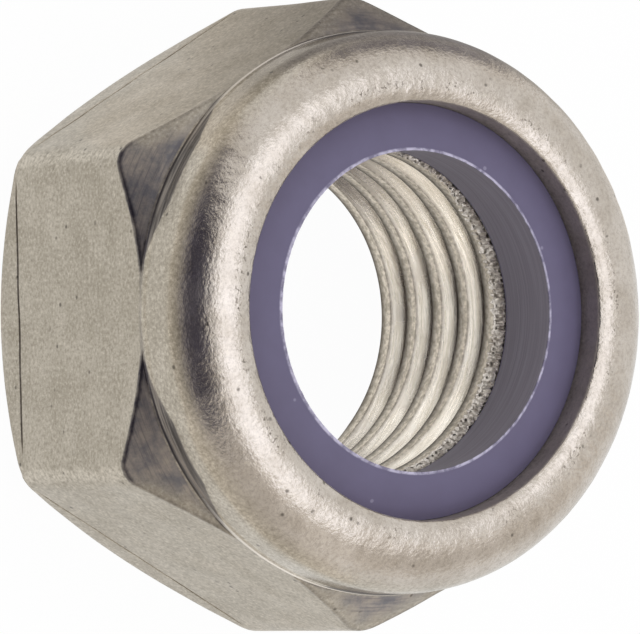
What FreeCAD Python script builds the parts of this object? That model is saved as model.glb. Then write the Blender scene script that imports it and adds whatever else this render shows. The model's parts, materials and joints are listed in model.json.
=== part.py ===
import FreeCAD, Part
import math
import os

# Nylon insert lock nut for a 16 mm bolt, in millimetres.
# +Z runs along the thread axis, from the bearing face to the nylon end.
# The origin is the centre of the bearing face, and two corners of the hexagon lie on the X axis.

# Thread
thread_diameter = 16.0
thread_pitch = 2.0
thread_depth = 0.9
thread_start_height = 0.05
countersink_margin = 0.1
countersink_half_angle = 45.0

# Hexagon
across_flats = 23.8
hexagon_edge_radius = 1.5
hexagon_height = 11.65
bearing_face_inset = 0.32
bearing_chamfer_angle = 40.0
top_chamfer_angle = 50.0

# Collar that holds the ring
nut_height = 15.5
collar_overhang = 0.04
collar_shoulder_radius = 2.35
ridge_overhang = 0.1
ridge_land = 0.2
ridge_bevel = 0.25
lip_thickness = 1.7
lip_reach = 1.19
lip_edge_bevel = 0.25

# Nylon ring
ring_height = 3.0
ring_width = 2.86
ring_bore_clearance = 0.05
ring_bore_taper = 0.35
ring_crown = 0.8
ring_side_clearance = 0.03

# Radii and heights that follow from the sizes above
thread_crest_radius = thread_diameter / 2 - thread_depth
countersink_radius = thread_diameter / 2 + countersink_margin
flat_distance = across_flats / 2
sharp_corner_radius = across_flats / math.sqrt(3)
bearing_face_radius = flat_distance - bearing_face_inset
ridge_radius = flat_distance + ridge_overhang
collar_radius = flat_distance + collar_overhang
ring_bore_radius = thread_crest_radius + ring_bore_clearance
ring_radius = ring_bore_radius + ring_width
recess_radius = ring_radius + ring_side_clearance
lip_radius = recess_radius - lip_reach
lip_underside = nut_height - lip_thickness
recess_floor = lip_underside - ring_height


def tangent(angle):
    """Rise for each unit of run at this angle in degrees."""
    return math.tan(math.radians(angle))


def line(start, end):
    """Straight edge between two (radius, height) points of a section, drawn in the YZ plane."""
    return Part.makeLine(FreeCAD.Vector(0, start[0], start[1]), FreeCAD.Vector(0, end[0], end[1]))


def quarter_arc(start, centre, radius, end):
    """Round edge from start to end about the centre, through the point at 45 degrees."""
    towards = FreeCAD.Vector(0, start[0] + end[0] - 2 * centre[0], start[1] + end[1] - 2 * centre[1])
    middle = FreeCAD.Vector(0, centre[0], centre[1]) + towards.normalize() * radius
    first = FreeCAD.Vector(0, start[0], start[1])
    last = FreeCAD.Vector(0, end[0], end[1])
    return Part.Arc(first, middle, last).toShape()


def revolved(edges, sweep=360):
    """Solid swept by a closed section turned about the thread axis."""
    face = Part.Face(Part.Wire(edges))
    return face.revolve(FreeCAD.Vector(0, 0, 0), FreeCAD.Vector(0, 0, 1), sweep)


def polygon_edges(points):
    """Straight edges round a closed section."""
    return [line(start, end) for start, end in zip(points, points[1:] + points[:1])]


def hexagon():
    """Hexagonal prism with rounded corners, trimmed by the cone of each end's chamfer."""
    corners = []
    for step in range(7):
        angle = math.radians(60 * step)
        x = sharp_corner_radius * math.cos(angle)
        y = sharp_corner_radius * math.sin(angle)
        corners.append(FreeCAD.Vector(x, y, 0))
    prism = Part.Face(Part.makePolygon(corners)).extrude(FreeCAD.Vector(0, 0, hexagon_height))
    upright = [edge for edge in prism.Edges if edge.BoundBox.ZLength > hexagon_height / 2]
    prism = prism.makeFillet(hexagon_edge_radius, upright)
    bearing_rise = (sharp_corner_radius - bearing_face_radius) * tangent(bearing_chamfer_angle)
    top_drop = (sharp_corner_radius - ridge_radius) * tangent(top_chamfer_angle)
    cones = revolved(polygon_edges([
        (0, 0),
        (bearing_face_radius, 0),
        (sharp_corner_radius, bearing_rise),
        (sharp_corner_radius, hexagon_height - top_drop),
        (ridge_radius, hexagon_height),
        (0, hexagon_height),
    ]))
    return prism.common(cones)


def collar():
    """Solid plug with the collar's outside: the seam ridge, the wall and the rolled shoulder."""
    ridge_top = hexagon_height + ridge_land
    wall_start = ridge_top + ridge_radius - collar_radius
    shoulder_start = nut_height - collar_shoulder_radius
    shoulder_centre = collar_radius - collar_shoulder_radius
    foot = (ridge_radius - ridge_bevel, hexagon_height - ridge_bevel)
    wall_top = (collar_radius, shoulder_start)
    rim = (shoulder_centre, nut_height)
    return revolved([
        line((0, foot[1]), foot),
        line(foot, (ridge_radius, hexagon_height)),
        line((ridge_radius, hexagon_height), (ridge_radius, ridge_top)),
        line((ridge_radius, ridge_top), (collar_radius, wall_start)),
        line((collar_radius, wall_start), wall_top),
        quarter_arc(wall_top, (shoulder_centre, shoulder_start), collar_shoulder_radius, rim),
        line(rim, (0, nut_height)),
        line((0, nut_height), (0, foot[1])),
    ])


def inside():
    """A third of the space in the nut: the countersink, the tapping hole, the recess and the mouth
    of the rim. Three of them, turned, make the whole, so that no wall of it closes on itself."""
    countersink_depth = (countersink_radius - thread_crest_radius) / tangent(countersink_half_angle)
    return revolved(polygon_edges([
        (0, 0),
        (countersink_radius, 0),
        (thread_crest_radius, countersink_depth),
        (thread_crest_radius, recess_floor),
        (recess_radius, recess_floor),
        (recess_radius, lip_underside),
        (lip_radius, lip_underside),
        (lip_radius, nut_height - lip_edge_bevel),
        (lip_radius + lip_edge_bevel, nut_height),
        (0, nut_height),
    ]), 120)


def thread_turn():
    """One turn of the tapped groove: a 60 degree trapezoid, an eighth of the pitch wide at its root,
    carried once up a right-hand helix that starts on the X axis at height zero."""
    root_radius = thread_diameter / 2
    overlap = thread_pitch / 10
    mouth_radius = thread_crest_radius - overlap
    root_half = thread_pitch / 16
    mouth_half = root_half + (root_radius - mouth_radius) * tangent(30)
    section = Part.makePolygon([
        FreeCAD.Vector(mouth_radius, 0, -mouth_half),
        FreeCAD.Vector(root_radius, 0, -root_half),
        FreeCAD.Vector(root_radius, 0, root_half),
        FreeCAD.Vector(mouth_radius, 0, mouth_half),
        FreeCAD.Vector(mouth_radius, 0, -mouth_half),
    ])
    helix = Part.makeHelix(thread_pitch, thread_pitch, root_radius)
    sweep = Part.BRepOffsetAPI.MakePipeShell(Part.Wire(helix.Edges))
    sweep.setFrenetMode(True)
    sweep.add(section)
    sweep.build()
    sweep.makeSolid()
    return sweep.shape()


def nut_body():
    """The steel nut, one piece: hexagon and collar, hollowed and then tapped. The thread is cut turn
    by turn, from below the bearing face until it has run out through the floor of the recess."""
    body = hexagon().fuse(collar())
    for third in range(3):
        hollow = inside()
        hollow.rotate(FreeCAD.Vector(0, 0, 0), FreeCAD.Vector(0, 0, 1), 120 * third)
        body = body.cut(hollow)
    turn = thread_turn()
    turn_start = thread_start_height - math.ceil(1 + thread_start_height / thread_pitch) * thread_pitch
    while turn_start < recess_floor + thread_pitch / 2:
        groove = turn.copy()
        groove.translate(FreeCAD.Vector(0, 0, turn_start))
        body = body.cut(groove)
        turn_start += thread_pitch
    return body.Solids[0]


def nylon_ring():
    """The locking ring: it stands on the recess floor and is held under the lip. Its top rises from
    the lip to the edge of its plain hole, which crimping squeezes a little narrower at the top."""
    return revolved(polygon_edges([
        (ring_bore_radius, recess_floor),
        (ring_radius, recess_floor),
        (ring_radius, lip_underside),
        (lip_radius, lip_underside),
        (ring_bore_radius - ring_bore_taper, lip_underside + ring_crown),
    ]))


os.makedirs("parts", exist_ok=True)
nut_body().exportStep("parts/nut_body.step")
nylon_ring().exportStep("parts/nylon_ring.step")
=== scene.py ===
import bmesh
import bpy
import json
import math
import numpy as np
from functools import partial
from mathutils import Matrix, Vector


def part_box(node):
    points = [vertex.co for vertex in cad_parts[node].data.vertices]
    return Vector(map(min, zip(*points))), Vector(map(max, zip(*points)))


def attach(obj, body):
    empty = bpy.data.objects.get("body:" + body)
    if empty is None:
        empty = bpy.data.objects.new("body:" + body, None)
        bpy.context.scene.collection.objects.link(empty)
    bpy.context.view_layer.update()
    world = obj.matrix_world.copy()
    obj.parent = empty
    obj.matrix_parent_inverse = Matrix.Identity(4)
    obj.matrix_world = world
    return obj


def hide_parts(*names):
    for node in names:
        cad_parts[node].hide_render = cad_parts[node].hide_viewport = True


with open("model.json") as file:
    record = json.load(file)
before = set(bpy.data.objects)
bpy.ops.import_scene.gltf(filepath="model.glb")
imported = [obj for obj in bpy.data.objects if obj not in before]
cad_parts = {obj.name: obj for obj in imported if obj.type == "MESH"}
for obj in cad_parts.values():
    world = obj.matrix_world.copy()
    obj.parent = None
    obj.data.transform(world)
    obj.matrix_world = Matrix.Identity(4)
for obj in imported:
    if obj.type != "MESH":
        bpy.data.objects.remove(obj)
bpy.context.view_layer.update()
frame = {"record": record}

# Nut body
# The real piece is one cold-forged stainless steel blank: a hexagon with a collar that is crimped over
# the locking ring. Both ends are chamfered, the hole is tapped, and tumbling leaves a satin grain.
MM = 0.001
TURN = 2 * np.pi
thread_mount = frame["record"]["mounts"][0]
body_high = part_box("nut_body")[1]
ring_low, ring_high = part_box("nylon_ring")

nut_height = body_high[2] / MM
flat_distance = 11.9
corner_rounding = 1.5
bearing_face_radius = 11.58
bearing_chamfer = 40.0
top_chamfer = 50.0
hexagon_height = 11.65
ridge_radius = 12.0
ridge_land = 0.2
collar_radius = 11.94
shoulder_radius = 2.35
ridge_fade = 0.25
crown_width = 0.14
lip_radius = 8.85
lip_slope_drop = 0.2
lip_slope_share = 0.55
lip_underside = 13.8
recess_radius = 10.04
recess_floor = ring_low[2] / MM
countersink_radius = 8.1

pressed_line_height = 1.82
pressed_line_tilt = 0.02
pressed_line_depth = 0.07
pressed_line_half_height = 0.08
pressed_line_half_length = 6.2
foot_groove_width = 0.28
foot_groove_depth = 0.06

crest_radius = thread_mount["dims"]["r_mm"]
root_radius = 8.0
pitch = 2.0
groove_start = 0.05
root_width = pitch / 8
flank_height = (root_radius - crest_radius) * math.tan(math.radians(30))
crest_width = pitch - root_width - 2 * flank_height
crest_start = groove_start + root_width / 2 + flank_height
crest_wear_height = 0.03
crest_wear_depth = 0.04

relief_margin = 0.3
flat_relief = 0.012
rim_relief_start = 13.4
rim_relief = 0.006
rim_dents = 0.007

crimp_start = 13.9
crimp_fade = 0.8
crown_from_lip = 0.72
crown_half_width = 0.42
undercut_fade = 0.5
helix_climb = 0.15

shoulder_steps = 25
lip_slope_steps = 5
columns = 432
body_angles = np.linspace(0, TURN, columns + 1)


def waves(seed, angles, across, lowest, highest, length, count=40):
    """Smooth random relief of about unit size: cosines with random phases, added up and divided by the
    root of their number. Each has a whole number of periods round the axis, so that it closes, and a
    random wavelength of at least length mm across."""
    random = np.random.default_rng(seed)
    relief = np.zeros(np.broadcast(angles, across).shape)
    for _ in range(count):
        around = random.integers(lowest, highest + 1)
        along = random.uniform(-TURN / length, TURN / length)
        relief = relief + np.cos(around * angles + along * across + random.uniform(0, TURN))
    return relief / math.sqrt(count)


def hexagon_radius(angles):
    """Distance from the axis to the hexagon's side at each angle: the flat distance over the cosine from
    the flat's middle, and near a corner the far side of the circle that rounds it."""
    from_corner = (angles + TURN / 12) % (TURN / 6) - TURN / 12
    side = flat_distance / np.cos(TURN / 12 - np.abs(from_corner))
    centre = (flat_distance - corner_rounding) / math.cos(TURN / 12)
    reach = np.sqrt(np.maximum(corner_rounding ** 2 - (centre * np.sin(from_corner)) ** 2, 0))
    tangent_point = math.atan2(corner_rounding / 2, centre + corner_rounding * math.cos(TURN / 12))
    return np.where(np.abs(from_corner) < tangent_point, centre * np.cos(from_corner) + reach, side)


def worn_edge(before, corner, after, size, steps):
    """A rounded edge of a section: the quadratic curve that leaves one side size before the corner and
    joins the next side size after it, or just short of half way where a side is shorter than that."""
    before, corner, after = (np.stack(np.broadcast_arrays(*point)) for point in (before, corner, after))
    back, ahead = before - corner, after - corner
    start = corner + back * np.minimum(size / np.maximum(np.hypot(*back), 1e-9), 0.45)
    end = corner + ahead * np.minimum(size / np.maximum(np.hypot(*ahead), 1e-9), 0.45)
    share = np.linspace(0, 1, steps + 1)[:, None, None]
    return (1 - share) ** 2 * start + 2 * share * (1 - share) * corner + share ** 2 * end


def run(start, end, steps):
    """Points between the ends of a straight side of a section, closer together near the ends."""
    share = ((1 - np.cos(np.linspace(0, np.pi, steps + 2)[1:-1])) / 2)[:, None, None]
    return start + (end - start) * share


def worn_section(corners, sizes, edge_steps, run_steps):
    """A section through the corners in order, with every corner but the two ends rounded to its size."""
    rows = [np.stack(np.broadcast_arrays(*corners[0]))[None]]
    for i in range(1, len(corners) - 1):
        edge = worn_edge(corners[i - 1], corners[i], corners[i + 1], sizes[i - 1], edge_steps)
        rows += [run(rows[-1][-1], edge[0], run_steps[i - 1]), edge]
    last = np.stack(np.broadcast_arrays(*corners[-1]))
    rows += [run(rows[-1][-1], last, run_steps[-1]), last[None]]
    return np.concatenate(rows)


def side_top_height(side):
    """Height at which the side of the hexagon ends, at the top chamfer or just under the ridge."""
    past_ridge = side - ridge_radius
    return hexagon_height - np.maximum(past_ridge * math.tan(math.radians(top_chamfer)), -past_ridge)


def outside_section(angles):
    """Radius and height of the outside, from the countersink's edge round to the mouth of the lip. The
    chamfers' edges lie where their cones meet the hexagon's own distance at each angle."""
    side = hexagon_radius(angles)
    even = np.zeros_like(angles)
    chamfer_end = (side - bearing_face_radius) * math.tan(math.radians(bearing_chamfer))
    past_ridge = side - ridge_radius
    side_top = side_top_height(side)
    from_middle = flat_distance * np.tan(angles % (TURN / 6) - TURN / 12)
    pressed = pressed_line_depth * np.clip(pressed_line_half_length - np.abs(from_middle), 0, 1)
    line_height = pressed_line_height + pressed_line_tilt * from_middle
    groove = np.minimum(side, ridge_radius + foot_groove_width)
    groove_height = hexagon_height - (groove - ridge_radius) * math.tan(math.radians(top_chamfer))
    groove_depth = foot_groove_depth * np.clip(past_ridge / foot_groove_width - 1, 0, 1)
    shoulder_start = nut_height - shoulder_radius
    base = worn_section(
        [
            (countersink_radius + even, even),
            (bearing_face_radius + even, even),
            (side, chamfer_end),
            (side, line_height - pressed_line_half_height),
            (side - pressed, line_height),
            (side, line_height + pressed_line_half_height),
            (side, side_top),
            (groove, groove_height),
            (ridge_radius + even, hexagon_height - groove_depth),
            (ridge_radius + even, hexagon_height + ridge_land + even),
            (collar_radius + even, hexagon_height + ridge_land + ridge_fade + even),
            (collar_radius + even, shoulder_start + even),
        ],
        sizes=[0.15, 0.12, 0.02, 0.03, 0.02, 0.06, 0.05, 0.07, 0.08, 0.05],
        edge_steps=3,
        run_steps=[3, 3, 2, 1, 1, 12, 5, 1, 1, 1, 5],
    )
    crown = collar_radius - shoulder_radius
    turn = np.linspace(0, np.pi / 2, shoulder_steps + 1)[1:, None]
    shoulder = np.stack(np.broadcast_arrays(crown + shoulder_radius * np.cos(turn) + even,
                                            shoulder_start + shoulder_radius * np.sin(turn) + even), 1)
    share = np.linspace(0, lip_slope_share, lip_slope_steps + 1)[1:, None]
    slope_start = crown - crown_width
    slope = np.stack(np.broadcast_arrays(slope_start + (lip_radius - slope_start) * share + even,
                                         nut_height - lip_slope_drop * share ** 1.5 + even), 1)
    lip_edge = (lip_radius + even, nut_height - lip_slope_drop + even)
    lip = worn_section(
        [
            (slope[-1][0], slope[-1][1]),
            lip_edge,
            (lip_radius + even, lip_underside + even),
            (recess_radius + even, lip_underside + even),
            (recess_radius + even, recess_floor + even),
        ],
        sizes=[0.12, 0.02, 0.02],
        edge_steps=6,
        run_steps=[1, 6, 0, 0],
    )
    rows = np.concatenate([base, shoulder, slope, lip[1:]])
    return rows[:, 0], rows[:, 1]


def thread_radius(phase):
    """Radius of the tapped thread at a phase in mm above the crest's lower edge: a crest whose lower
    edge is slightly worn, the flank out to the root, the flat root and the flank back."""
    depth = root_radius - crest_radius
    flank_end = crest_width + flank_height
    heights = [0, crest_wear_height, crest_width, flank_end, flank_end + root_width, pitch]
    depths = [crest_wear_depth, 0.0, 0.0, depth, depth, crest_wear_depth]
    return crest_radius + np.interp(np.mod(phase, pitch), heights, depths)


def thread_section(angles):
    """Radius, height and phase of the hole, from the recess floor down. Each row keeps its place on the
    thread and climbs a pitch a turn, and rows past either end are held there, where they merge."""
    marks = np.concatenate([
        [0, crest_wear_height, 0.15, 0.3, 0.45, crest_width - 0.06, crest_width],
        crest_width + flank_height * np.array([0.12, 0.25, 0.4, 0.6, 0.8, 1]),
        crest_width + flank_height + root_width + flank_height * np.array([0, 0.5]),
    ])
    turns = np.arange(math.ceil(recess_floor / pitch) + 1, -2, -1)
    phases = (turns[:, None] * pitch + marks[None, ::-1]).ravel()
    heights = crest_start + phases[:, None] + pitch * angles[None, :] / TURN
    heights = np.clip(heights, 0, recess_floor)
    phase = heights - crest_start - pitch * angles[None, :] / TURN
    radii = thread_radius(phase)
    return np.maximum(radii, countersink_radius - heights), heights, phase


def forging_relief(radii, heights, angles):
    """Moves the outside a few hundredths: the flats are not quite flat and the crimped rim is slightly
    dented."""
    from_top = hexagon_height - relief_margin - heights
    flats = np.clip(heights - relief_margin, 0, 1) * np.clip(from_top / 0.5, 0, 1)
    rim = np.clip((heights - rim_relief_start) / 1.2, 0, 1) * (radii > lip_radius + 0.03)
    across = heights + radii
    radii = radii + flats * flat_relief * waves(3, angles, across, 2, 26, 4.0)
    radii = radii - rim * rim_relief * waves(5, angles, across, 6, 60, 1.4)
    return radii, heights - rim * rim_dents * np.maximum(waves(7, angles, across, 10, 110, 1.0), -1.5)


def grid_faces(rows, count):
    """Four-cornered faces between neighbouring rows and columns. They face outward where the rows run
    counterclockwise round the section, with the radius to the right and the height up."""
    corner = (np.arange(rows - 1)[:, None] * count + np.arange(count - 1)[None, :]).ravel()
    return np.stack([corner, corner + 1, corner + 1 + count, corner + count], 1)


def store(mesh, name, values, kind="FLOAT", field="value"):
    """Gives each point of the mesh a named value or, with another kind and field, a named vector."""
    layer = mesh.attributes.new(name, kind, "POINT")
    layer.data.foreach_set(field, np.ascontiguousarray(values, dtype=np.float32).ravel())


sharp_edge_angle = 42.0


def add_piece(name, points, faces, masks, unrolled):
    """Puts points in mm and faces into a mesh, with a named value at each point for every mask and the
    unrolled place of its patterns, merges points that meet at seams, and gives the object, smooth but
    for the edges that turn by more than the sharp edge's angle in degrees."""
    mesh = bpy.data.meshes.new(name)
    mesh.from_pydata((points * MM).tolist(), [], faces.tolist())
    for label, values in masks.items():
        store(mesh, label, values)
    store(mesh, "unrolled", unrolled, "FLOAT_VECTOR", "vector")
    surface = bmesh.new()
    surface.from_mesh(mesh)
    bmesh.ops.remove_doubles(surface, verts=surface.verts, dist=0.0005 * MM)
    surface.to_mesh(mesh)
    surface.free()
    mesh.polygons.foreach_set("use_smooth", np.ones(len(mesh.polygons), dtype=bool))
    mesh.set_sharp_from_angle(angle=math.radians(sharp_edge_angle))
    piece = bpy.data.objects.new(name, mesh)
    bpy.context.collection.objects.link(piece)
    return piece


def along_section(radii, heights):
    """Length in mm along each section, from its first row."""
    steps = np.hypot(np.diff(radii, axis=0), np.diff(heights, axis=0))
    return np.concatenate([np.zeros((1, radii.shape[1])), np.cumsum(steps, 0)])


def unroll(angles, along, radius):
    """Places in mm for patterns that follow the surface: round a cylinder of that radius and along the
    section."""
    around = np.broadcast_to(angles, along.shape)
    return np.stack([radius * np.cos(around), radius * np.sin(around), along], -1)


outer_radii, outer_heights = outside_section(body_angles)
outer_radii, outer_heights = forging_relief(outer_radii, outer_heights, body_angles[None, :])
hole_radii, hole_heights, hole_phases = thread_section(body_angles)
closing_row = np.zeros((1, columns + 1))
body_radii = np.concatenate([outer_radii, hole_radii, closing_row + countersink_radius])
body_heights = np.concatenate([outer_heights, hole_heights, closing_row])
body_points = np.stack([body_radii * np.cos(body_angles), body_radii * np.sin(body_angles),
                        body_heights], -1)
row_count = body_radii.shape[0]
side = hexagon_radius(body_angles)[None] + 0 * body_radii
in_hole = (np.arange(row_count)[:, None] >= outer_radii.shape[0]) & (body_heights > 0.001)


def hole_mask(values):
    """A mask over all rows of the body from values for the rows of the hole."""
    return np.concatenate([np.zeros_like(outer_radii), values, closing_row]) * in_hole


crimp_mask = np.clip((body_heights - crimp_start) / crimp_fade, 0, 1) * ~in_hole
crimp_mask = crimp_mask * (body_radii > lip_radius - 0.01)
crown_mask = np.clip(1 - np.abs(body_radii - lip_radius - crown_from_lip) / crown_half_width, 0, 1)
chamfer_mask = (body_radii > ridge_radius + 0.03) & (body_heights > side_top_height(side) + 0.03)
ridge_mask = ((body_radii > collar_radius + 0.02) & (body_heights > hexagon_height + 0.04)
              & (body_heights < hexagon_height + ridge_land + 0.03))
near_pressed_line = np.abs(body_heights - pressed_line_height) < 0.2
pressed_line_shade_mask = (side - body_radii > 0.02) & near_pressed_line & ~in_hole
thread_phases = np.mod(hole_phases, pitch)
thread_depths = hole_radii - crest_radius
# Where a painted shadow falls: the flank just under each crest, fading over the crest's foot.
crest_foot = np.clip(1 - thread_phases / undercut_fade, 0, 1)
undercut = np.where(thread_phases > pitch - flank_height * 1.01, 1.0, crest_foot)

outer_along = along_section(outer_radii, outer_heights)
ridge_row = np.argmin(np.abs(outer_heights[:, 0] - hexagon_height - ridge_land / 2))
thread_turns = body_angles + TURN * np.floor(hole_phases / pitch)
helix_place = thread_phases + helix_climb * thread_turns
body_along = np.concatenate([outer_along - outer_along[ridge_row], helix_place, helix_place[-1:]])

# front is 1 on the flat that the photograph shows head on, and falls to 0 just past its two corners.
# front sets how strong the painted shade lines are, and where the chamfers' tint gives way to a painted
# reflection.
from_front = np.abs((body_angles + TURN / 4 + TURN / 2) % TURN - TURN / 2)
front = np.clip(1 - (from_front - TURN / 12) / 0.06, 0, 1)

body_masks = {
    "crimp": crimp_mask,
    "chamfer": chamfer_mask,
    "outside": ~in_hole,
    "hole": in_hole,
    "crest": hole_mask(np.clip(1 - thread_depths / 0.12, 0, 1)),
    "root": hole_mask(np.clip((thread_depths - 0.25) / 0.5, 0, 1)),
    "undercut": hole_mask(undercut),
    "pressed": pressed_line_shade_mask,
    "collar": (body_heights > hexagon_height - 0.02) & ~in_hole,
    "tooled": np.maximum(chamfer_mask, in_hole),
    "side_top": side_top_height(side),
    "faded": np.clip(1 - front + 0 * side, 0, 1),
    "shade_line_strength": np.clip(0.35 + 0.65 * front, 0, 1) * np.clip((side - ridge_radius + 0.15) / 0.25, 0.3, 1),
    "crown": crown_mask * crimp_mask,
    "standout": np.clip((side - ridge_radius) / 1.2, 0, 1),
    # The ridge's mask is a painted highlight, pale but for the side facing the camera; it also makes the
    # ridge rough.
    "ridge": ridge_mask * np.clip(1.6 - 2.6 * np.clip(-np.sin(body_angles), 0, 1) ** 2, 0, 1),
    "lip_wall": (body_radii < lip_radius + 0.03) & (body_heights > lip_underside) & ~in_hole,
    "corner": np.clip(1 - (hexagon_radius(0) - side) / 0.05, 0, 1) * (body_radii > side - 0.1),
}
nut_body = add_piece("nut_body_steel", body_points.reshape(-1, 3), grid_faces(row_count, columns + 1),
                     body_masks, unroll(body_angles, body_along, flat_distance))


def linear(colour):
    """Linear RGB, with alpha 1, from an sRGB hex colour."""
    parts = [int(colour[i:i + 2], 16) / 255 for i in (1, 3, 5)]
    return [c / 12.92 if c <= 0.04045 else ((c + 0.055) / 1.055) ** 2.4 for c in parts] + [1.0]


def add_node(tree, kind, *values, output=None, **settings):
    """Adds a node and gives its output of that name, or else the first one in use. The values go to its
    inputs in use, in order. A setting with a capital is the value for the input of that name, with _ for
    a space, and any other setting is a property. Another node's output is linked, and a hex colour is
    made linear."""
    node = tree.nodes.new("ShaderNode" + kind)
    named = {}
    for name, value in settings.items():
        if name[0].isupper():
            named[name.replace("_", " ")] = value
        else:
            setattr(node, name, value)
    inputs = [*zip([socket for socket in node.inputs if socket.enabled], values),
              *[(node.inputs[name], value) for name, value in named.items()]]
    for socket, value in inputs:
        if isinstance(value, bpy.types.NodeSocket):
            tree.links.new(value, socket)
        else:
            socket.default_value = linear(value) if isinstance(value, str) else value
    if output:
        return node.outputs[output]
    return next((socket for socket in node.outputs if socket.enabled), None)


def new_material(name):
    """An empty material, and the function that adds a node to it."""
    material = bpy.data.materials.new(name)
    material.use_nodes = True
    material.node_tree.nodes.clear()
    return material, partial(add_node, material.node_tree)


def pattern(add, place, size, stretch=(1, 1, 1), detail=3.0, roughness=0.6):
    """Random clouds from 0 to 1 about size mm across at a place in mm, drawn out along the axes whose
    stretch is more than 1: noise at the place divided by the size and the stretch."""
    scaled = add("VectorMath", place, [size * s for s in stretch], operation="DIVIDE")
    return add("TexNoise", scaled, Scale=1.0, Detail=detail, Roughness=roughness)


def line_at(add, value, middle, half_width):
    """1 where the value is at the middle, falling to 0 half_width away from it."""
    difference = add("Math", value, middle, operation="SUBTRACT")
    distance = add("Math", difference, operation="ABSOLUTE")
    return add("MapRange", distance, half_width, half_width * 0.4)


def millimetres(add):
    """Place on the object, in mm."""
    return add("VectorMath", add("TexCoord", output="Object"), (MM, MM, MM), operation="DIVIDE")


def forged_colour(add, masks, place, grain):
    """Warm grey with faint clouds and a fine grain. The crimped rim is whiter, with the grain half
    rubbed away, and the worn corners of the hexagon are pale."""
    clouds = add("MapRange", pattern(add, place, 1.6, detail=5.0, roughness=0.7), 0.36, 0.64)
    forged = add("Mix", clouds, "#a79f90", "#b9b1a3", data_type="RGBA")
    crimped = add("Mix", clouds, "#b7aea3", "#c9c1b8", data_type="RGBA")
    colour = add("Mix", masks["crimp"], forged, crimped, data_type="RGBA")
    grain_left = add("Math", masks["crimp"], -0.5, 1.0, operation="MULTIPLY_ADD")
    dark_grain = add("MapRange", grain, 0.5, 0.66, 0.0, 0.6)
    dark_grain = add("Math", dark_grain, grain_left, operation="MULTIPLY")
    colour = add("Mix", dark_grain, colour, "#857d6f", data_type="RGBA")
    light_grain = add("MapRange", grain, 0.47, 0.32, 0.0, 0.6)
    light_grain = add("Math", light_grain, grain_left, operation="MULTIPLY")
    colour = add("Mix", light_grain, colour, "#d8d0c1", data_type="RGBA")
    rubbed = add("MapRange", grain, 0.6, 0.4, 0.1, 0.6)
    worn = add("Math", masks["corner"], rubbed, operation="MULTIPLY")
    return add("Mix", worn, colour, "#d9d1c3", data_type="RGBA")


def turned_colours(add, masks, colour, place, unrolled):
    """Lays over a colour the marks on the outside: streaked bluish turned chamfers, which near the flats
    turned away from the front give way to the base colour as a painted reflection of white, painted shade
    with streaks at the collar's foot, painted shade lines along the chamfers' edges and the seam,
    strongest on the front, a painted highlight on the ridge that is left out on the side facing the
    camera, and painted shade in the pressed line on the flats."""
    mottled = pattern(add, place, 1.3, detail=5.0, roughness=0.7)
    streaks = pattern(add, unrolled, 0.12, (18, 18, 1))
    wander = add("Math", pattern(add, place, 0.5, detail=2.0), 0.15, -0.075, operation="MULTIPLY_ADD")
    height = add("Math", add("SeparateXYZ", place, output="Z"), wander, operation="ADD")

    turned = add("Mix", add("MapRange", mottled, 0.38, 0.62), "#7c7a7d", "#ada398", data_type="RGBA")
    streaked = add("MapRange", streaks, 0.48, 0.68, 0.0, 0.6)
    turned = add("Mix", streaked, turned, "#67646a", data_type="RGBA")
    # Painted reflection: away from the front flat, the chamfer's tint gives way to the base colour near
    # its edge.
    above_edge = add("Math", height, masks["side_top"], operation="SUBTRACT")
    near_edge = add("MapRange", above_edge, 0.1, 1.0, 0.9, 0.0)
    painted_white_reflection = add("Math", near_edge, masks["faded"], operation="MULTIPLY")
    tint_kept = add("Math", 1.0, painted_white_reflection, operation="SUBTRACT")
    chamfer = add("Math", masks["chamfer"], tint_kept, operation="MULTIPLY")
    colour = add("Mix", chamfer, colour, turned, data_type="RGBA")

    # Painted shade, streaked, on the collar's foot just above the flats.
    foot_top = add("MapRange", masks["standout"], 0.0, 0.77, hexagon_height, hexagon_height + 0.95)
    above_foot = add("Math", height, foot_top, operation="SUBTRACT")
    foot_shade = add("Math", add("MapRange", above_foot, 0.06, -0.04), masks["collar"], operation="MULTIPLY")
    standing_out = add("MapRange", masks["standout"], 0.0, 0.15)
    foot_shade = add("Math", foot_shade, standing_out, operation="MULTIPLY")
    off_chamfer = add("Math", 1.0, masks["chamfer"], operation="SUBTRACT")
    foot_shade = add("Math", foot_shade, off_chamfer, operation="MULTIPLY")
    foot_streaks = add("MapRange", streaks, 0.4, 0.6)
    foot_shade_colour = add("Mix", foot_streaks, "#575350", "#837c75", data_type="RGBA")
    colour = add("Mix", foot_shade, colour, foot_shade_colour, data_type="RGBA")

    # Painted shade lines along the chamfers' edges and the seam, strongest on the front flat.
    edge = line_at(add, height, masks["side_top"], 0.17)
    seam = line_at(add, height, hexagon_height + 0.03, 0.14)
    broken = add("MapRange", mottled, 0.35, 0.6, 1.0, 0.6)
    broken = add("Math", masks["outside"], broken, operation="MULTIPLY")
    shade_lines = add("Math", add("Math", edge, seam, operation="MAXIMUM"), broken, operation="MULTIPLY")
    shade_lines = add("Math", shade_lines, masks["shade_line_strength"], operation="MULTIPLY")
    colour = add("Mix", shade_lines, colour, "#34303a", data_type="RGBA")
    # Painted highlight on the ridge.
    colour = add("Mix", masks["ridge"], colour, "#f2ece3", data_type="RGBA")
    # Painted shade in the pressed line's groove.
    pressed = add("MapRange", mottled, 0.3, 0.6, 1.0, 0.5)
    pressed = add("Math", masks["pressed"], pressed, operation="MULTIPLY")
    return add("Mix", pressed, colour, "#6a6152", data_type="RGBA")


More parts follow.
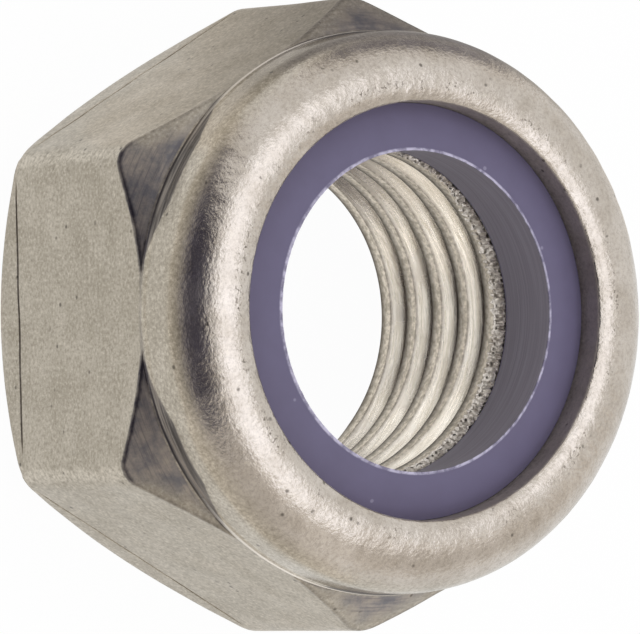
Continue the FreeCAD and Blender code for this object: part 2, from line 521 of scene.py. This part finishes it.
def hole_colours(add, masks, colour, place, unrolled):
    """Lays over a colour the tapped hole: steel with drawn-out marks and mottled crests, both near white
    as painted light in the hole, painted shade at the roots, and a painted shadow that leaves a dark line
    on the flank under each crest and fades over the crest's foot."""
    # The hole's steel and its crests are painted near white: painted light in the hole.
    tapped = add("MapRange", pattern(add, unrolled, 0.07, (30, 30, 1)), 0.35, 0.65)
    painted_light_hole_colour = add("Mix", tapped, "#e2d9c9", "#f6efe2", data_type="RGBA")
    colour = add("Mix", masks["hole"], colour, painted_light_hole_colour, data_type="RGBA")
    torn = add("MapRange", pattern(add, place, 0.2, detail=4.0), 0.4, 0.6)
    painted_light_crest_colour = add("Mix", torn, "#c6bdad", "#f2e9da", data_type="RGBA")
    colour = add("Mix", masks["crest"], colour, painted_light_crest_colour, data_type="RGBA")
    shaded = add("Math", masks["root"], 0.05, operation="MULTIPLY")
    colour = add("Mix", shaded, colour, "#6b6253", data_type="RGBA")
    # Painted shadow under each crest.
    under_crest_shadow = add("Math", masks["undercut"], 0.95, operation="MULTIPLY")
    return add("Mix", under_crest_shadow, colour, "#40382e", data_type="RGBA")


def flaws(add, masks, colour, place):
    """Lays over a colour the patches of dark specks on the rim's crown and the scattered dark pits."""
    patches = add("MapRange", pattern(add, place, 2.4), 0.46, 0.56)
    specks = add("MapRange", pattern(add, place, 0.16, detail=2.0), 0.57, 0.66, 0.0, 0.9)
    specks = add("Math", specks, patches, operation="MULTIPLY")
    specks = add("Math", specks, masks["crown"], operation="MULTIPLY")
    colour = add("Mix", specks, colour, "#544a3f", data_type="RGBA")
    pits = add("MapRange", add("TexVoronoi", place, Scale=1 / 0.8), 0.15, 0.07)
    pitted = add("MapRange", pattern(add, place, 1.3), 0.5, 0.56, 0.0, 0.75)
    pits = add("Math", pits, pitted, operation="MULTIPLY")
    pits = add("Math", pits, masks["outside"], operation="MULTIPLY")
    return add("Mix", pits, colour, "#453f38", data_type="RGBA")


def steel_finish():
    """Stainless steel, cold forged and tumbled: a warm satin grey with a fine grain. The collar is
    smoother where the crimping tool burnished it, with an orange peel about 0.2 mm wide. The tapped
    flanks are smoother too, and the crests, the ridge and the lip's inner wall are rough."""
    material, add = new_material("tumbled_stainless_steel")
    masks = {name: add("Attribute", attribute_name=name, output="Fac") for name in body_masks}
    unrolled = add("Attribute", attribute_name="unrolled", output="Vector")
    place = millimetres(add)
    grain = pattern(add, place, 0.17, roughness=0.75)
    rough = add("MapRange", pattern(add, place, 2.0), 0.3, 0.7, 0.36, 0.46)
    added_roughness = {"collar": -0.19, "hole": -0.16, "crest": 0.33, "ridge": 0.3, "lip_wall": 0.4}
    for name, added in added_roughness.items():
        rough = add("Math", masks[name], added, rough, operation="MULTIPLY_ADD")
    fine = add("Bump", Height=grain, Strength=1.0, Distance=0.006 * MM)
    peel = pattern(add, unrolled, 0.17, (1.2, 1.2, 0.9))
    peel = add("Math", peel, masks["crimp"], operation="MULTIPLY")
    peeled = add("Bump", Height=peel, Strength=1.0, Distance=0.026 * MM, Normal=fine)
    marks = pattern(add, unrolled, 0.06, (40, 40, 1), detail=2.0)
    marks = add("Math", marks, masks["tooled"], operation="MULTIPLY")
    tooled = add("Bump", Height=marks, Strength=1.0, Distance=0.006 * MM, Normal=peeled)
    colour = forged_colour(add, masks, place, grain)
    colour = turned_colours(add, masks, colour, place, unrolled)
    colour = hole_colours(add, masks, colour, place, unrolled)
    colour = flaws(add, masks, colour, place)
    shader = add("BsdfPrincipled", Base_Color=colour, Metallic=1.0, Roughness=rough, Normal=tooled)
    add("OutputMaterial", shader)
    return material


nut_body.data.materials.append(steel_finish())
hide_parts("nut_body")
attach(nut_body, "root")

# Tapping burr
# Where the tap broke out through the recess floor, it left a ragged lip of torn chips round the top of
# the thread, squeezed against the ring. It is the same steel as the body.
burr_radius = 7.2
burr_top = 10.6
burr_reach = 0.15
burr_half_height = 0.46
burr_middle = math.radians(65)
burr_inside_crest = 0.09
burr_columns = 1440
burr_rows = 16
burr_angles = np.linspace(0, TURN, burr_columns + 1)


def burr_surface(angles, rounds):
    """A thin band whose section is a rough oval: its reach at each place is a steady part plus random
    peaks, so that it reads as a row of torn chips with a ragged edge, tall only round its middle."""
    chips = waves(21, angles, rounds, 40, 210, 1.5, 60)
    edge = waves(23, angles, 0 * rounds, 20, 260, 1.0)
    reach = burr_reach * (0.9 + 0.4 * np.clip(chips, -1.2, 1.6))
    radii = burr_radius - reach * np.cos(rounds)
    half_height = burr_half_height * np.clip(4 * np.cos(angles - burr_middle) - 0.68, 0.25, 1)
    heights = burr_top - half_height + (half_height + 0.08 * edge + 0.3 * reach * chips) * np.sin(rounds)
    return np.maximum(radii, crest_radius - burr_inside_crest), heights


burr_rounds = np.linspace(TURN, 0, burr_rows + 1)[:, None]
burr_radii, burr_heights = burr_surface(burr_angles[None, :], burr_rounds)
burr_points = np.stack([burr_radii * np.cos(burr_angles), burr_radii * np.sin(burr_angles),
                        burr_heights], -1)
thread_burr = add_piece("thread_burr", burr_points.reshape(-1, 3),
                        grid_faces(burr_rows + 1, burr_columns + 1), {},
                        unroll(burr_angles, np.zeros_like(burr_radii), burr_radius))


def burr_finish():
    """Torn stainless steel: pale broken facets, matt, with painted shade that makes it a little darker
    between the chips.
    """
    material, add = new_material("torn_steel")
    torn = pattern(add, millimetres(add), 0.22, detail=2.0)
    # Painted shade: darker where the chip relief is low, between the chips.
    colour = add("Mix", add("MapRange", torn, 0.36, 0.5), "#c0b8b0", "#faf4ec", data_type="RGBA")
    bump = add("Bump", Height=torn, Strength=1.0, Distance=0.02 * MM)
    shader = add("BsdfPrincipled", Base_Color=colour, Metallic=1.0, Roughness=0.55, Normal=bump)
    add("OutputMaterial", shader)
    return material


thread_burr.data.materials.append(burr_finish())
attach(thread_burr, "root")

# Nylon ring
# The real piece is a moulded washer of dyed nylon, pressed into the recess and held there by the
# crimped lip. Its hole is plain and a little small, so that the bolt cuts its own way through it.
ring_bore_bottom = 7.15
ring_bore_top = 6.8
ring_outer = ring_high[0] / MM
hole_edge_height = ring_high[2] / MM
squeezed_height = 14.05
ring_gap = 0.01
turned_groove_depth = 0.004
ring_columns = 360
ring_angles = np.linspace(0, TURN, ring_columns + 1)


def ring_section(angles):
    """Radius and height of the ring's closed section, from the foot of the hole outwards and back. The
    top rises in a slight curve from the lip to a thin raised burr round the hole, whose wall has faint
    turned grooves."""
    even = np.zeros_like(angles)
    burr = 0.01 * np.maximum(waves(11, angles, 0, 20, 120, 1.0), -0.8)
    inner = lip_radius - ring_gap
    points = [
        (ring_bore_bottom + even, recess_floor + even),
        (ring_outer + even, recess_floor + even),
        (ring_outer + even, lip_underside - ring_gap + even),
        (inner + even, lip_underside - ring_gap + even),
        (inner + even, squeezed_height - 0.03 + even),
        (inner - 0.01 + even, squeezed_height - 0.01 + even),
        (inner - 0.04 + even, squeezed_height + even),
    ]
    start = (inner - 0.04, squeezed_height)
    end = (ring_bore_top + 0.14, hole_edge_height - 0.05)
    for share in np.linspace(0, 1, 12)[1:]:
        points.append((start[0] + (end[0] - start[0]) * share + even,
                       start[1] + (end[1] - start[1]) * math.sin(share * np.pi / 2) + even))
    points += [
        (ring_bore_top + 0.08 + burr, hole_edge_height - 0.035 + burr * 0.4),
        (ring_bore_top + 0.04 + burr, hole_edge_height - 0.005 + burr),
        (ring_bore_top + even, hole_edge_height + burr),
        (ring_bore_top - 0.01 + even, hole_edge_height - 0.04 + even),
        (ring_bore_top + 0.01 + even, hole_edge_height - 0.1 + even),
    ]
    start = (ring_bore_top + 0.01, hole_edge_height - 0.1)
    for share in np.linspace(0, 1, 30)[1:]:
        turned = turned_groove_depth * math.sin(share * 61)
        points.append((start[0] + (ring_bore_bottom - start[0]) * share + turned + even,
                       start[1] + (recess_floor - start[1]) * share + even))
    return np.array([p[0] for p in points]), np.array([p[1] for p in points])


ring_radii, ring_heights = ring_section(ring_angles)
ring_points = np.stack([ring_radii * np.cos(ring_angles), ring_radii * np.sin(ring_angles),
                        ring_heights], -1)
near_hole = ring_radii < ring_bore_top + 0.1
burr_mask = np.clip((ring_heights - hole_edge_height + 0.07) / 0.03, 0, 1) * near_hole
bore_mask = (ring_radii < ring_bore_bottom - 0.005) & (ring_heights < hole_edge_height - 0.06)
ring_masks = {"burr": burr_mask, "bore": bore_mask}
nylon_ring = add_piece("nylon_ring_dyed", ring_points.reshape(-1, 3),
                       grid_faces(ring_radii.shape[0], ring_columns + 1), ring_masks,
                       unroll(ring_angles, along_section(ring_radii, ring_heights), ring_bore_top))


def nylon_finish():
    """Dyed nylon, moulded: a dull grey violet with a soft sheen, faint clouds and light specks about
    0.2 mm wide. It is greyer in the turned hole and painted paler there as painted light, and palest
    where the edge was torn up."""
    material, add = new_material("dyed_nylon")
    masks = {name: add("Attribute", attribute_name=name, output="Fac") for name in ring_masks}
    unrolled = add("Attribute", attribute_name="unrolled", output="Vector")
    place = millimetres(add)
    colour = add("Mix", pattern(add, place, 1.8), "#635d75", "#6d6782", data_type="RGBA")
    specks = add("MapRange", add("TexVoronoi", place, Scale=1 / 2.2), 0.05, 0.03, 0.0, 0.5)
    colour = add("Mix", specks, colour, "#a29cb0", data_type="RGBA")
    # The bore is painted paler: painted light in the hole.
    turned = add("MapRange", pattern(add, unrolled, 0.1, (60, 60, 1)), 0.35, 0.65)
    painted_light_bore_colour = add("Mix", turned, "#8b8591", "#9d97a5", data_type="RGBA")
    colour = add("Mix", masks["bore"], colour, painted_light_bore_colour, data_type="RGBA")
    ragged = add("MapRange", pattern(add, place, 0.5), 0.4, 0.58, 0.2, 1.0)
    ragged = add("Math", masks["burr"], ragged, operation="MULTIPLY")
    colour = add("Mix", ragged, colour, "#c6c1d6", data_type="RGBA")
    bump = add("Bump", Height=pattern(add, place, 0.12), Strength=1.0, Distance=0.002 * MM)
    shader = add("BsdfPrincipled", Base_Color=colour, Roughness=0.55, Specular_IOR_Level=0.25,
                 Normal=bump)
    add("OutputMaterial", shader)
    return material


nylon_ring.data.materials.append(nylon_finish())
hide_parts("nylon_ring")
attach(nylon_ring, "root")

# Floor, light and camera
# The nut stands on white paper under a soft box. Grey cloth sweeps and the box's black back, which only
# mirror rays meet, are what the polished collar reflects. The camera looks down on the nut from far
# away, turned on its side.
floor_size = 3.0
floor_gap = 1e-5
world_light = 0.59
soft_box_distance = 0.5
soft_box_tilt = -6.5
soft_box_width = 0.62
soft_box_depth = 0.37
soft_box_radiance = 1.85
sweep_distance = 0.6
sweep_gap = 2e-4
sweep_rows = 60
sweep_columns = 40


def seen_directly(add):
    """1 for rays from the camera and for mirror and glass rays, else 0."""
    camera, mirror, glass = (add("LightPath", output=f"Is {ray} Ray")
                             for ray in ("Camera", "Glossy", "Transmission"))
    direct = add("Math", camera, mirror, operation="MAXIMUM")
    return add("Math", direct, glass, operation="MAXIMUM")


def floor_finish():
    """Matt white paper: it shows white and keeps a faint trace of the nut's shadow."""
    material, add = new_material("white_paper")
    paper = add("BsdfDiffuse", Color="#f2f2f2")
    glow = add("Emission", Color="#ffffff", Strength=1.0)
    share = add("Math", seen_directly(add), 0.97, operation="MULTIPLY")
    add("OutputMaterial", add("MixShader", share, paper, glow))
    return material


def sweep_finish():
    """Grey cloth in the dim part of the studio, as bright as the shade that its mesh holds, and bluer
    where it is dark."""
    material, add = new_material("grey_cloth")
    shade = add("Attribute", attribute_name="shade", output="Fac")
    tint = add("Mix", add("MapRange", shade, 0.1, 0.5), "#d6d2f6", "#fffaf4", data_type="RGBA")
    add("OutputMaterial", add("Emission", Color=tint, Strength=shade))
    return material


def housing_finish():
    """The black back of the soft box."""
    material, add = new_material("black_housing")
    add("OutputMaterial", add("Emission", Color="#000000", Strength=0.0))
    return material


square_corners = ((-0.5, -0.5), (0.5, -0.5), (0.5, 0.5), (-0.5, 0.5))
floor_mesh = bpy.data.meshes.new("floor")
floor_mesh.from_pydata([(x * floor_size, y * floor_size, -floor_gap) for x, y in square_corners],
                       [], [(0, 1, 2, 3)])
floor = bpy.data.objects.new("floor", floor_mesh)
bpy.context.collection.objects.link(floor)
floor_mesh.materials.append(floor_finish())


def place_reflected(name, mesh, finish):
    """Places a piece of studio cloth or gear in the scene, which only mirror rays meet."""
    mesh.materials.append(finish)
    piece = bpy.data.objects.new(name, mesh)
    bpy.context.collection.objects.link(piece)
    piece.visible_camera = False
    piece.visible_diffuse = False
    piece.visible_shadow = False


def add_sweep(name, sides, fade, rises, shades, finish):
    """A cloth sweep on one side of the nut: it lies on the paper, then rises round the nut like part of a
    sphere. At each rise in degrees, as the collar sees it, it is as bright as shades says and reaches
    from one compass angle to the other, or to lists of them, fading into white at both."""
    rise = np.linspace(rises[0], rises[-1], sweep_rows)[:, None]
    first, last = (np.interp(rise, rises, np.broadcast_to(limit, len(rises))) for limit in sides)
    compass = first + (last - first) * np.linspace(0, 1, sweep_columns)
    height = np.maximum(sweep_distance * np.sin(np.radians(rise)), sweep_gap)
    upright = sweep_distance * np.cos(np.radians(rise))
    on_floor = ridge_radius * MM * (1 + 1 / np.tan(np.radians(np.maximum(-rise, 1))))
    reach = np.where((rise < 0) & (on_floor < sweep_distance), on_floor, upright)
    points = np.stack([reach * np.cos(np.radians(compass)), reach * np.sin(np.radians(compass)),
                       height + 0 * compass], -1)
    inwards = np.clip(np.minimum(compass - first, last - compass) / fade, 0, 1)
    shade = 1 - (1 - np.interp(rise, rises, shades)) * inwards ** 2 * (3 - 2 * inwards)
    mesh = bpy.data.meshes.new(name)
    faces = grid_faces(sweep_rows, sweep_columns)
    mesh.from_pydata(points.reshape(-1, 3).tolist(), [], faces.tolist())
    store(mesh, "shade", shade)
    place_reflected(name, mesh, finish)


grey_cloth = sweep_finish()
add_sweep("left_sweep", fade=13, rises=[-30, -22, -12, -4, 4, 10, 16, 29, 38, 50, 56, 60],
          sides=([-154, -154, -154, -154, -154, -153, -146, -141, -141, -141, -141, -141], -39),
          shades=[1.0, 0.75, 0.53, 0.43, 0.3, 0.15, 0.1, 0.1, 0.12, 0.14, 0.22, 1.0], finish=grey_cloth)
add_sweep("back_sweep", fade=40, rises=[-84, -70, -58, -35, -22], sides=(100, 220),
          shades=[0.85, 0.62, 0.46, 0.36, 0.45], finish=grey_cloth)
add_sweep("back_screen", fade=12, rises=[-21.5, -12, 2, 9, 18], sides=(123, 181),
          shades=[0.5, 0.32, 0.24, 0.6, 1.0], finish=grey_cloth)
add_sweep("right_sweep", fade=18, rises=[8, 20, 46, 58], sides=(12, 76),
          shades=[1.0, 0.72, 0.78, 1.0], finish=grey_cloth)
add_sweep("front_sweep", fade=24, rises=[-40, -15, 15, 50, 64], sides=(-58, 10),
          shades=[1.0, 0.76, 0.7, 0.74, 1.0], finish=grey_cloth)

world = bpy.data.worlds.new("studio")
bpy.context.scene.world = world
world.use_nodes = True
world.node_tree.nodes.clear()
add_to_world = partial(add_node, world.node_tree)
dim = add_to_world("Background", Color="#ffffff", Strength=world_light)
white = add_to_world("Background", Color="#ffffff", Strength=1.0)
add_to_world("OutputWorld", add_to_world("MixShader", seen_directly(add_to_world), dim, white))

soft_box_light = bpy.data.lights.new("soft_box", "AREA")
soft_box_light.shape = "RECTANGLE"
soft_box_light.size = soft_box_width
soft_box_light.size_y = soft_box_depth
soft_box_light.energy = soft_box_radiance * np.pi * soft_box_width * soft_box_depth
soft_box_light.color = linear("#f8f9ff")[:3]
soft_box = bpy.data.objects.new("soft_box", soft_box_light)
soft_box_turn = Matrix.Rotation(math.radians(soft_box_tilt), 4, "X")
soft_box.matrix_world = soft_box_turn @ Matrix.Translation((0, 0, soft_box_distance))
soft_box.visible_camera = False
bpy.context.collection.objects.link(soft_box)
housing_mesh = bpy.data.meshes.new("soft_box_housing")
housing_distance = soft_box_distance + 0.01
housing_points = [soft_box_turn @ Vector((x * soft_box_width, y * soft_box_depth, housing_distance))
                  for x, y in square_corners]
housing_mesh.from_pydata([tuple(point) for point in housing_points], [], [(0, 1, 2, 3)])
place_reflected("soft_box_housing", housing_mesh, housing_finish())

camera_azimuth = 2.451
camera_elevation = 56.654
camera_roll = 87.135
camera_distance = 387.51 * MM
camera_aim = Vector((0.011, 0.723, 6.0)) * MM
camera_data = bpy.data.cameras.new("camera")
camera_data.lens = 506.25
camera_data.sensor_width = 36
camera_data.clip_start = 0.01
camera_data.clip_end = 20
camera = bpy.data.objects.new("camera", camera_data)
bpy.context.collection.objects.link(camera)
looking = (Matrix.Rotation(math.radians(camera_azimuth), 4, "Z")
           @ Matrix.Rotation(math.radians(90 - camera_elevation), 4, "X")
           @ Matrix.Rotation(math.radians(camera_roll), 4, "Z"))
camera.matrix_world = (Matrix.Translation(camera_aim) @ looking
                       @ Matrix.Translation((0, 0, camera_distance)))
bpy.context.scene.camera = camera
bpy.context.scene.view_settings.view_transform = "Standard"
